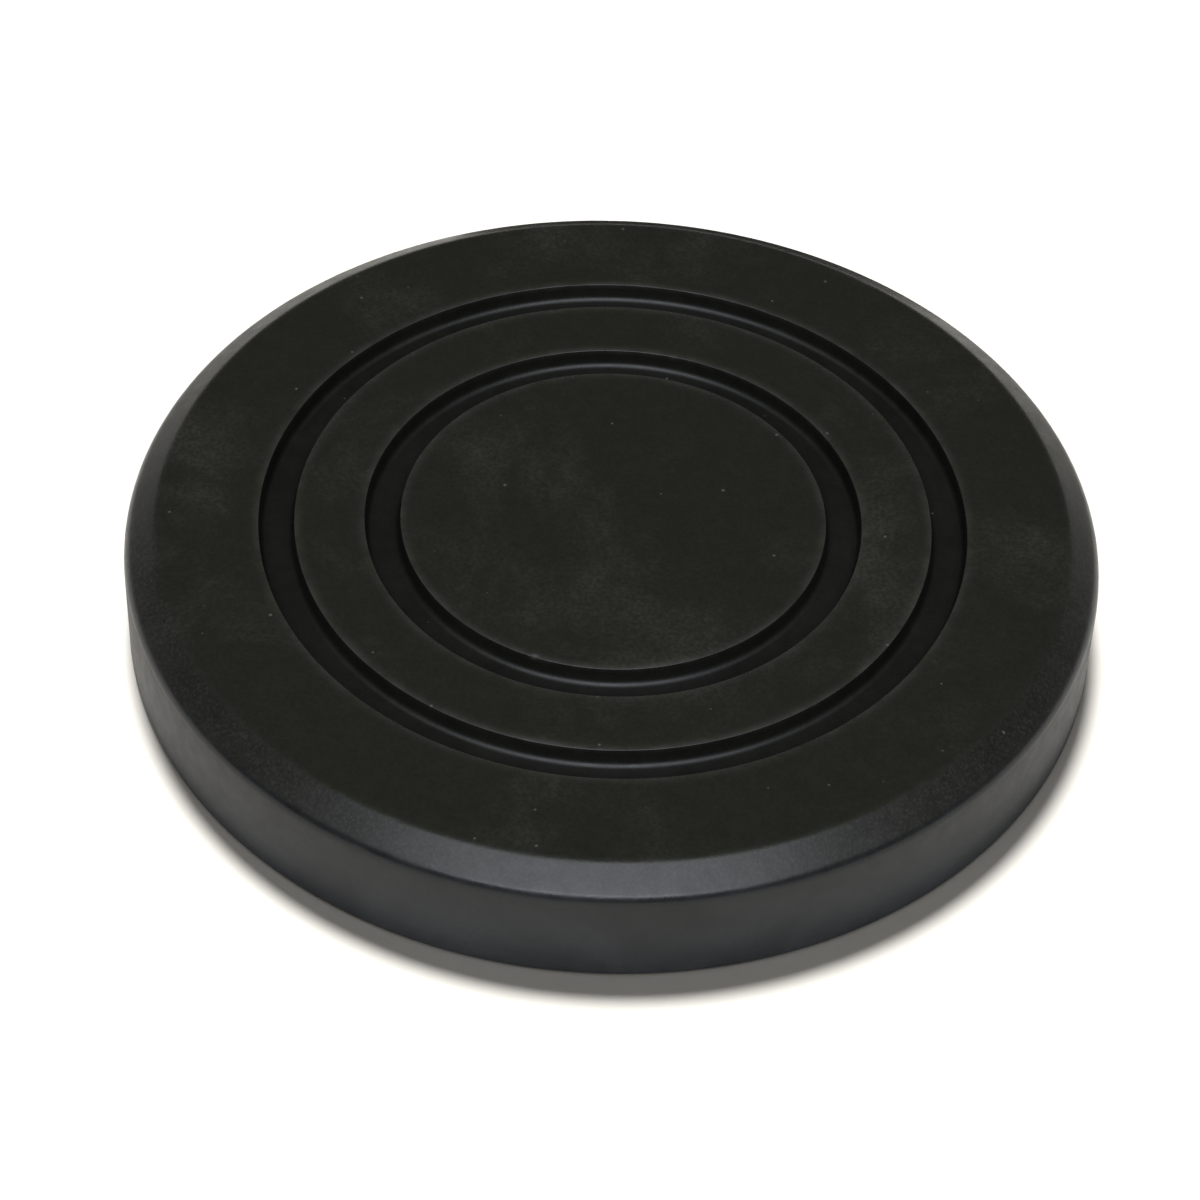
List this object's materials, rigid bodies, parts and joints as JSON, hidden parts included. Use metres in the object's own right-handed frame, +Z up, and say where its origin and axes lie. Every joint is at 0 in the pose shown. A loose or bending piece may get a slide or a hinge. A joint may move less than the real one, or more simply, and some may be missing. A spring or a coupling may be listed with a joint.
{
  "type": "rubber saddle pad",
  "caption": "Round black rubber saddle pad with a flat top, concentric ring grooves and a sloped shoulder; it sits on a support and cushions the load that bears on it.",
  "frame": {"origin": "middle of the flat underside", "axes": "+Z up through the grooved top, on the axis of the disc; X and Y are equal, because the pad is round"},
  "size_m": [0.125, 0.125, 0.016],
  "materials": {
    "rubber": "olive-black moulded rubber, satin, with a fine pebbled grain, faint haze and a few specks of dust"
  },
  "bodies": {
    "root": {"saddle_pad": "rubber"}
  },
  "joints": []
}
